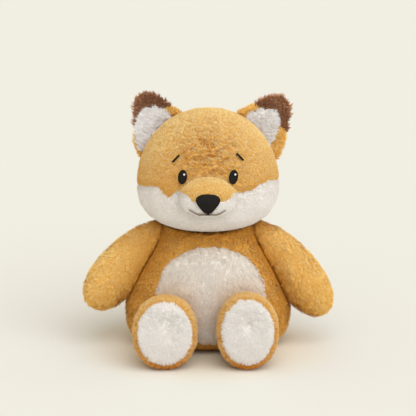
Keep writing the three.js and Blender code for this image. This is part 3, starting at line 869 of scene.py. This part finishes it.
def painted_shade_share(places, up, room, around, share):
    """How much painted shade the pile takes: near other bodies and the floor, on sides that face down, in hollows
    and where it is ruffled.
    """
    depth = np.minimum(room - PAINTED_SHADE_START, places[:, 2] - FLOOR_PAINTED_SHADE)
    beside = np.exp(-np.maximum(depth, 0) / PAINTED_SHADE_REACH)
    aside = DOWNWARD_SHADE * np.clip(DOWNWARD_SHADE_FROM - up, 0, 1)
    raised = waves(places, SHADED_HOLLOWS) * (HOLLOW_SHADE_CALM + around) + RIDGE_SHADE * ridges(places, around)
    low = np.clip(-HOLLOW_SHADE * raised, 0, 1)
    inner = 1 - (1 - aside) * (1 - low) * (1 - RUFFLE_SHADE * around)
    return 1 - (1 - min(BESIDE_SHADE_MOST, BESIDE_SHADE_SHARE * share) * beside) * (1 - share * inner)


def strayed(places):
    """Places moved a little this way and that, so that a panel's edge wanders under its pile."""
    moves = [wander(places, pattern) for pattern in STRAYS]
    return places + STRAY * np.stack(moves, axis=1)


def place_cloth(skin, index, pile, neighbours, hinge, ruffle):
    """One panel's cloth, and its number of faces."""
    panel = skin.panels[index]
    points, faces, home = panel_skin(skin, index)
    cloth = object_of(f"{panel}_cloth", *thickened(points, faces))
    _, beside = neighbours.look(home)
    up = normals_of(points, faces)[:, 2]
    # painted shade on the cloth under the pile, stored as its fold attribute
    store(cloth.data, "fold", np.tile(painted_shade_share(home, up, beside, ruffle(home), pile.deep), 2))
    placed(cloth, skin.body, SKIN_MATERIALS[pile.colour], hinge)
    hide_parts(panel)
    return len(cloth.data.polygons)


def place_pile(skin, panel, pile, roots, room, short, lay, hinge, ruffle, draw):
    """One panel's strands."""
    around = ruffle(roots.home)
    laid = lay(roots.home)
    points, faces, height, tone_and_shading, tuft_shadow = strands(roots, pile, laid, around, short, draw)
    hair = object_of(f"{panel}_pile", points, faces)
    store(hair.data, "height", height)
    store(hair.data, "tone_and_shading", tone_and_shading)
    # painted shade on the strands, also under the front of each ruffled tuft
    painted_shade = painted_shade_share(roots.home, roots.normal[:, 2], room, around, pile.deep)
    painted_shade = 1 - (1 - painted_shade) * (1 - pile.deep * tuft_shadow)
    store(hair.data, "fold", np.repeat(painted_shade, BLADE_POINTS))
    map_strands(hair.data, len(roots.at))
    placed(hair, skin.body, PILE_MATERIALS[pile.colour], hinge)


def dress(skin, lay, others, hinge=None, bare=(), ruffle=calm):
    """A body's cloths and piles, panel by panel. The trim named in bare stands free of strands."""
    draw = np.random.default_rng([SEED, len(skin.points)])
    piles = [pile_of(name) for name in skin.panels]
    thickest = max(pile.density for pile in piles)
    roots = scattered(skin, thickest, draw)
    owner, outside = Nearest(skin.panels).look(strayed(roots.home))
    neighbours = Nearest(others)
    _, room = neighbours.look(roots.home)
    short = np.clip(room / SHORT_WITHIN, SHORTEST_SHARE, 1)
    short = np.minimum(short, np.clip(1 + BULGE_START - outside / BULGE_SHORT, BULGE_SHARE, 1))
    keep = room > ROOM_LEAST
    if bare:
        _, away = Nearest(bare).look(roots.home)
        keep &= away > TRIM_LEAST
        short = np.minimum(short, np.clip(away / TRIM_REACH, TRIM_SHARE, 1))
    for index, (panel, pile) in enumerate(zip(skin.panels, piles)):
        face_count = place_cloth(skin, index, pile, neighbours, hinge, ruffle)
        thin = draw.random(len(owner)) < pile.density / thickest
        chosen = np.flatnonzero((owner == index) & keep & thin)
        own = Roots(*(values[chosen] for values in roots))
        place_pile(skin, panel, pile, own, room[chosen], short[chosen], lay, hinge, ruffle, draw)
        print(panel, "faces", face_count, "strands", len(chosen))


# Stuffing and the pellet pouch, which the skins close in
FILLING_DARK = 0.75
FILLING_DEPTH = 0.8 * MM
FILLING_VOXEL = 6 * MM
FILLING_ROUNDS = 4
FILLING_SINK = 3.2 * MM
FILLING_LUMPS = Pattern(9 * MM, 21)
FILLING_LUMP = 0.8 * MM


def inner_material(name, colour, grain):
    made, tree, shader = material(name, FILLING_ROUGHNESS)
    speckle = noise(tree, grain)
    dark = (*(FILLING_DARK * c for c in colour[:3]), 1.0)
    feed(tree, shader, {"Base Color": mixed_colour(tree, speckle, dark, colour)})
    bump(tree, shader, speckle, FILLING_DEPTH)
    return made


FIBRE_GRAIN = 3 * MM
WEAVE_GRAIN = 1.2 * MM
filling_look = inner_material("stuffing_fibre", linear(242, 240, 234), FIBRE_GRAIN)
pouch_look = inner_material("pouch_weave", linear(190, 186, 172), WEAVE_GRAIN)


def inner_piece(node, body, look, hinge=None, top=math.inf):
    points, faces = remeshed(*node_arrays(node), FILLING_VOXEL)
    points = relaxed(points, edges_of(faces), FILLING_ROUNDS)
    sink = FILLING_SINK + FILLING_LUMP * wander(points, FILLING_LUMPS)
    points = points - normals_of(points, faces) * sink[:, None]
    points[:, 2] = np.minimum(points[:, 2], top)
    made = object_of(f"{node}_fill", points, faces)
    placed(made, body, look, hinge)
    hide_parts(node)


# Embroidery and the nose: pads worked from their solids, seated back into the pile
THREAD_GRAIN = 0.5 * MM
THREAD_DETAIL = 2.0


def thread_material(name, dark, light, sheen=0.0):
    made, tree, shader = material(name, THREAD_ROUGHNESS, sheen)
    speckle = noise(tree, THREAD_GRAIN, THREAD_DETAIL)
    feed(tree, shader, {"Base Color": mixed_colour(tree, speckle, dark, light)})
    return made, tree, shader, speckle


# How a pad is worked: the grain that it is built in, how far its back sinks into the pile, and the
# pitch, height and direction of its rows of thread
Stitch = namedtuple("Stitch", "voxel seat pitch height across")
X_AXIS = np.array([1.0, 0.0, 0.0])
SLANT = unit(np.array([1.0, 0.0, 1.0]))
NOSE_STITCH = Stitch(0.7 * MM, 3 * MM, 1.1 * MM, 0.04 * MM, SLANT)
MOUTH_STITCH = Stitch(0.3 * MM, 2 * MM, 1.2 * MM, 0.06 * MM, X_AXIS)
EYE_STITCH = Stitch(0.35 * MM, 3 * MM, 0.9 * MM, 0.1 * MM, UP)
GLINT_STITCH = Stitch(0.22 * MM, 1 * MM, 0.8 * MM, 0.05 * MM, UP)
BROW_STITCH = Stitch(0.3 * MM, 2.5 * MM, 0.9 * MM, 0.08 * MM, X_AXIS)
PAD_ROUNDS = 4
PAD_BACK = 0.45
PAD_BACK_FROM = 0.5
EYE_TURN = math.radians(8)
GLINT_SIZE = np.array([0.82, 1.0, 0.82])


def trim_piece(node, look, stitch, turn_centre=None, size=1.0):
    """A stitched pad on the head, turned a little about a centre if it has one."""
    points, faces = remeshed(*node_arrays(node), stitch.voxel)
    points = relaxed(points, edges_of(faces), PAD_ROUNDS, back=PAD_BACK)
    normals = normals_of(points, faces)
    centre = points.mean(axis=0)
    points = centre + (points - centre) * size
    backed = np.clip(normals[:, 1] / PAD_BACK_FROM, 0, 1)
    wave = np.sin(2 * np.pi * (points @ stitch.across) / stitch.pitch)
    fronted = np.clip(-normals[:, 1], 0, 1)
    points = points + normals * (stitch.height * wave * fronted)[:, None]
    points[:, 1] += backed * stitch.seat
    if turn_centre is not None:
        axes = np.tile(-FRONT, (len(points), 1))
        points = turned(points - turn_centre, axes, np.full(len(points), EYE_TURN)) + turn_centre
    made = object_of(f"{node}_stitched", points, faces)
    placed(made, "head", look)
    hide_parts(node)


# The way each body's pile lies
def toward(direction):
    def lay(places):
        return np.tile(direction, (len(places), 1))

    return lay


def away_from(centre):
    def lay(places):
        return unit(places - centre)

    return lay


def ruffled_near(centre, reach, least, most=1.0):
    """How ruffled the pile is, from the most at the centre to the least past reach."""

    def ruffle(places):
        away = np.linalg.norm(places - centre, axis=1)
        return least + (most - least) * np.exp(-((away / reach) ** 2))

    return ruffle


# The neck: the torso's stub is cut out of its skin, and closes the head's underside
NECK_RADIUS = 23.5 * MM
NECK_SIDES = 24
NECK_STUB_LOW = 1 * MM
NECK_STUB_HIGH = 26 * MM
NECK_SKIN_SPREAD = 5 * MM
NECK_SKIN_DROP = 2.5 * MM
NECK_FILL_DROP = 6 * MM


# Where an arm or the tail is sewn on, the torso's skin bulges into it round the line that it turns
# about, and so stays covered when it turns.
SHOULDER_SIZE = np.array([12, 16, 12]) * MM
TAIL_ROOT_SIZE = np.array([15, 15, 17]) * MM
BULGE_RINGS = 8
BULGE_SIDES = 16


def revolved(radii, heights, sides):
    """A closed surface about the upright, ring by ring."""
    angles = 2 * np.pi * np.arange(sides) / sides
    ring = np.stack([np.cos(angles), np.sin(angles), 0 * angles], axis=1)
    points = radii[:, None, None] * ring + heights[:, None, None] * UP
    corner = np.arange((len(radii) - 1) * sides).reshape(-1, sides)
    after = np.roll(corner, -1, axis=1)
    square = np.stack([corner, corner + sides, after + sides, after], axis=2).reshape(-1, 4)
    faces = np.concatenate([square[:, [0, 1, 2]], square[:, [0, 2, 3]]])
    return points.reshape(-1, 3), faces


def bulge(joint, size):
    """A ball about a joint, squashed to size."""
    rings = np.linspace(0, np.pi, BULGE_RINGS + 1)
    points, faces = revolved(np.sin(rings), np.cos(rings), BULGE_SIDES)
    return points[:, [0, 2, 1]] * size + joint_place(joint), faces


def neck_stub():
    """A short closed cylinder that fills the neck's hole in the head."""
    radii = NECK_RADIUS * np.array([0, 1, 1, 0])
    heights = np.repeat([NECK_STUB_LOW, NECK_STUB_HIGH], 2)
    points, faces = revolved(radii, heights, NECK_SIDES)
    return points + joint_place("head_turn"), faces


# Torso
TORSO_VOXEL = 5 * MM
TORSO_ROUGH = 0.7
TORSO_RUFFLE = 0.3
COLLAR_HEIGHT = 136 * MM
COLLAR_REACH = 5 * MM
SPREAD_DOWN = 0.35
SPREAD_MORE = 0.4


def torso_lay(places):
    """Down the body, and up against the head's underside round the neck."""
    out = unit(places * [1, 1, 0])
    collar = np.clip((places[:, 2:] - COLLAR_HEIGHT) / COLLAR_REACH, 0, 1)
    return unit((SPREAD_DOWN + SPREAD_MORE * collar) * out + (2 * collar - 1) * UP)


def build_torso():
    bulges = [bulge(f"{side}_arm_raise", SHOULDER_SIZE) for side in SIDES]
    bulges.append(bulge("tail_wag", TAIL_ROOT_SIZE))
    panels = ("torso_cover", "belly_panel")
    ruffle = even(TORSO_RUFFLE)
    filling = ("torso_stuffing",)
    skin = stuffed_skin("torso", panels, filling, TORSO_VOXEL, TORSO_ROUGH, extra=bulges, ruffle=ruffle)
    neck = joint_place("head_turn")
    inside = np.linalg.norm(skin.points[:, :2] - neck[:2], axis=1) < NECK_RADIUS + NECK_SKIN_SPREAD
    skin.points[inside, 2] = np.minimum(skin.points[inside, 2], neck[2] - NECK_SKIN_DROP)
    dress(skin, torso_lay, other_covers("torso"), ruffle=ruffle)
    inner_piece("torso_stuffing", "torso", filling_look, top=neck[2] - NECK_FILL_DROP)
    inner_piece("pellet_pouch", "torso", pouch_look)


# Head: its pile lies away from the bridge of the nose, and is ruffled above the brows
HEAD_VOXEL = 3.2 * MM
HEAD_ROUGH = 0.8
NOSE_BRIDGE_RISE = 12 * MM
FOREHEAD_RISE = 8 * MM
FOREHEAD_REACH = 41 * MM
CROWN_RUFFLE = 0.05


def build_head():
    panels = ("head_crown", "head_cheeks", "snout_top", "snout_lower")
    fold = ("head_crown", "snout_top")
    forehead = (box_middle("brow_right") + box_middle("brow_left")) / 2 + FOREHEAD_RISE * UP
    ruffle = ruffled_near(forehead, FOREHEAD_REACH, CROWN_RUFFLE)
    filling = ("head_stuffing",)
    stub = neck_stub()
    skin = stuffed_skin("head", panels, filling, HEAD_VOXEL, HEAD_ROUGH, True, (stub,), fold, ruffle)
    nose = box_middle("nose")
    trims = ("nose", "eye_right", "eye_left", "brow_right", "brow_left")
    lay = away_from(nose + NOSE_BRIDGE_RISE * UP)
    dress(skin, lay, other_covers("head"), bare=trims, ruffle=ruffle)
    inner_piece("head_stuffing", "head", filling_look)


# Face
MOUTH_KNOT = 1.4 * MM
NOSE_DEPTH = 0.25 * MM
GLINT_SHEEN = 0.1


def mouth_material():
    """Black at the knot in the middle; further out the thread draws in a crease, and is coloured pale brown-grey
    there as painted shade of that crease.
    """
    made, tree, shader, speckle = thread_material("mouth_thread", linear(16, 14, 12), linear(36, 32, 28))
    knot = shader.inputs["Base Color"].links[0].from_socket
    across = add(tree, "ShaderNodeSeparateXYZ", {0: place(tree)}).outputs["X"]
    away = add(tree, "ShaderNodeMath", {0: across}, operation="ABSOLUTE").outputs[0]
    share = ranged(tree, away, MOUTH_KNOT, 2 * MOUTH_KNOT)
    # painted shade: the thread further out is coloured as the crease's shade
    painted_crease_shade = mixed_colour(tree, speckle, linear(140, 122, 102), linear(190, 174, 156))
    feed(tree, shader, {"Base Color": mixed_colour(tree, share, knot, painted_crease_shade)})
    return made


def build_face():
    black, *_ = thread_material("eye_thread", linear(13, 10, 7), linear(34, 28, 22))
    pale = (linear(196, 190, 190), linear(232, 228, 228))
    white, *_ = thread_material("glint_thread", *pale, GLINT_SHEEN)
    satin, tree, shader, speckle = thread_material("nose_cloth", linear(6, 5, 5), linear(38, 34, 31))
    bump(tree, shader, speckle, NOSE_DEPTH)
    mouth = mouth_material()
    trim_piece("nose", satin, NOSE_STITCH)
    trim_piece("mouth_stitch", mouth, MOUTH_STITCH)
    for side in SIDES:
        middle = box_middle(f"eye_{side}")
        trim_piece(f"eye_{side}", black, EYE_STITCH, middle)
        trim_piece(f"eye_glint_{side}", white, GLINT_STITCH, middle, GLINT_SIZE)
        trim_piece(f"brow_{side}", black, BROW_STITCH)


# Ears: their pile fans out from the middle of the ear towards its rim
EAR_VOXEL = 2.6 * MM
EAR_ROUGH = 0.6
EAR_RUFFLE = 0.28
EAR_FAN = 0.6
EAR_BEND_BELOW = 20 * MM
EAR_BEND_ABOVE = 18 * MM


def build_ear(side):
    body = f"{side}_ear"
    at = joint_place(f"{side}_ear_fold")
    low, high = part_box(f"ear_tip_{side}")
    tip = np.array([(low[0] + high[0]) / 2, at[1], high[2]])
    panels = tuple(f"{stem}_{side}" for stem in ("ear_back", "ear_tip", "ear_lining"))
    ruffle = even(EAR_RUFFLE)
    skin = stuffed_skin(body, panels, (), EAR_VOXEL, EAR_ROUGH, swells=False, ruffle=ruffle)
    up = unit(tip - at)

    def lay(places):
        return unit(up + EAR_FAN * unit(places - (at + tip) / 2))

    hinge = Hinge(("head", body), tuple(at - up * EAR_BEND_BELOW), tuple(at + up * EAR_BEND_ABOVE))
    dress(skin, lay, other_covers(body), hinge, ruffle=ruffle)


# Arms, legs and tail
LIMB_VOXEL = 4 * MM
LIMB_ROUGH = 0.7

# The pile is ruffled round the paw
PAW_OUT = 0.9
PAW_RUFFLE = 0.5
PAW_RUFFLE_RISE = 16 * MM
PAW_REACH = 26 * MM


def build_arm(side):
    body = f"{side}_arm"
    at = joint_place(f"{side}_arm_raise")
    low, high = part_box(f"arm_cover_{side}")
    outer = low[0] if side == "right" else high[0]
    paw = np.array([outer * PAW_OUT, (low[1] + high[1]) / 2, low[2]])
    ruffle = ruffled_near(paw + PAW_RUFFLE_RISE * UP, PAW_REACH, CALM, PAW_RUFFLE)
    filling = (f"arm_stuffing_{side}",)
    skin = stuffed_skin(body, (f"arm_cover_{side}",), filling, LIMB_VOXEL, LIMB_ROUGH, ruffle=ruffle)
    dress(skin, toward(unit(paw - at)), other_covers(body), ruffle=ruffle)
    inner_piece(f"arm_stuffing_{side}", body, filling_look)


# The leg's pile lies out from its middle line, backwards and down
SOLE_SPREAD = 30 * MM
LEG_OUTWARD = 0.9
LEG_BACKWARD = 0.5
LEG_DOWN = 0.35
LEG_BEND = 26 * MM


def build_leg(side):
    body = f"{side}_leg"
    at = joint_place(f"{side}_leg_raise")
    panels = (f"leg_cover_{side}", f"sole_pad_{side}")
    skin = stuffed_skin(body, panels, (f"leg_stuffing_{side}",), LIMB_VOXEL, LIMB_ROUGH)
    middle = box_middle(f"leg_cover_{side}")

    def lay(places):
        outward = (places - middle) * [1, 0, 1] / SOLE_SPREAD
        outward /= np.maximum(np.linalg.norm(outward, axis=1, keepdims=True), 1)
        return unit(LEG_OUTWARD * outward - LEG_BACKWARD * FRONT - LEG_DOWN * UP)

    hinge = Hinge(("torso", body), tuple(at), tuple(at + FRONT * LEG_BEND))
    dress(skin, lay, other_covers(body), hinge)
    inner_piece(f"leg_stuffing_{side}", body, filling_look, hinge)


TAIL_BEND = 24 * MM


def build_tail():
    at = joint_place("tail_wag")
    skin = stuffed_skin("tail", ("tail_cover", "tail_tip"), ("tail_stuffing",), LIMB_VOXEL)
    hinge = Hinge(("torso", "tail"), tuple(at), tuple(at - FRONT * TAIL_BEND))
    dress(skin, toward(-FRONT), other_covers("tail"), hinge)
    inner_piece("tail_stuffing", "tail", filling_look, hinge)


# Camera: 10 degrees above the seat, far enough off that the toy fills the photograph's frame alike
CAMERA_TARGET_HEIGHT = 163.9 * MM
CAMERA_DISTANCE = 1.5
CAMERA_RISE = math.radians(10)
SENSOR_WIDTH = 36.0
FOCAL_PIXELS = 1250
PHOTO_PIXELS = 416
FOCAL_SHARE = FOCAL_PIXELS / PHOTO_PIXELS
CLIP_START = 0.05
CLIP_END = 500


def build_camera():
    lens = bpy.data.cameras.new("camera")
    lens.sensor_width = SENSOR_WIDTH
    lens.lens = SENSOR_WIDTH * FOCAL_SHARE
    lens.clip_start = CLIP_START
    lens.clip_end = CLIP_END
    camera = bpy.data.objects.new("camera", lens)
    camera.location = (
        0,
        -CAMERA_DISTANCE * math.cos(CAMERA_RISE),
        CAMERA_TARGET_HEIGHT + CAMERA_DISTANCE * math.sin(CAMERA_RISE),
    )
    camera.rotation_euler = (math.pi / 2 - CAMERA_RISE, 0, 0)
    scene.collection.objects.link(camera)
    scene.camera = camera


# Studio: a pale floor that runs out of view, painted with a warm shade beside the toy, a warm even sky,
# a wide soft key lamp at the upper right and a fill from the front
FLOOR_SPAN = 400.0
FLOOR_COLOUR = linear(234, 235, 230)
# painted shade: the floor is warmer near the toy, where its shadow falls
SHADE_COLOUR = linear(245, 235, 211)
SHADE_MIDDLE = (0.0, -20 * MM, 0.0)
SHADE_NEAR = 70 * MM
SHADE_FAR = 160 * MM
BACKDROP_COLOUR = linear(240, 238, 226)
SKY_COLOUR = linear(255, 243, 222)
SKY_STRENGTH = 0.6
Lamp = namedtuple("Lamp", "strength colour spread rotation")
LAMPS = {
    "key": Lamp(1.95, (0.93, 0.98, 1.06), math.radians(70), (math.radians(46), 0, math.radians(28))),
    "fill": Lamp(0.95, (1.0, 0.98, 0.94), math.radians(90), (math.radians(84), 0, math.radians(4))),
}


def build_world():
    """The sky lights the toy, and what the camera sees of it matches the floor."""
    world = bpy.data.worlds.new("studio")
    world.use_nodes = True
    tree = world.node_tree
    sky = tree.nodes["Background"]
    feed(tree, sky, {"Color": SKY_COLOUR, "Strength": SKY_STRENGTH})
    backdrop = add(tree, "ShaderNodeBackground", {"Color": BACKDROP_COLOUR})
    path = add(tree, "ShaderNodeLightPath").outputs
    rays = {0: path["Is Camera Ray"], 1: path["Is Glossy Ray"]}
    either = add(tree, "ShaderNodeMath", rays, operation="ADD").outputs[0]
    rays = {0: either, 1: path["Is Transmission Ray"]}
    seen = add(tree, "ShaderNodeMath", rays, operation="ADD", use_clamp=True).outputs[0]
    mix = add(tree, "ShaderNodeMixShader", {0: seen, 1: sky.outputs[0], 2: backdrop.outputs[0]})
    feed(tree, tree.nodes["World Output"], {"Surface": mix.outputs[0]})
    scene.world = world


def build_studio():
    half = FLOOR_SPAN / 2
    corners = np.array([[-half, -half, 0], [half, -half, 0], [half, half, 0], [-half, half, 0]])
    floor = object_of("floor", corners, np.array([[0, 1, 2, 3]]))
    look, tree, shader = material("floor_paper", PAPER_ROUGHNESS)
    away = add(tree, "ShaderNodeVectorMath", {0: place(tree), 1: SHADE_MIDDLE}, operation="SUBTRACT")
    span = add(tree, "ShaderNodeVectorMath", {0: away.outputs[0]}, operation="LENGTH")
    share = ranged(tree, span.outputs["Value"], SHADE_NEAR, SHADE_FAR)
    shown = mixed_colour(tree, share, SHADE_COLOUR, FLOOR_COLOUR)
    feed(tree, shader, {"Base Color": shown, "Specular IOR Level": 0.0})
    floor.data.materials.append(look)
    build_world()
    for name, lamp in LAMPS.items():
        light = bpy.data.lights.new(name, "SUN")
        light.energy = lamp.strength
        light.angle = lamp.spread
        light.color = lamp.colour
        stand = bpy.data.objects.new(name, light)
        stand.rotation_euler = lamp.rotation
        scene.collection.objects.link(stand)


scene.view_settings.view_transform = "Standard"
build_camera()
build_studio()
build_torso()
build_head()
build_face()
for side in SIDES:
    build_ear(side)
    build_arm(side)
    build_leg(side)
build_tail()
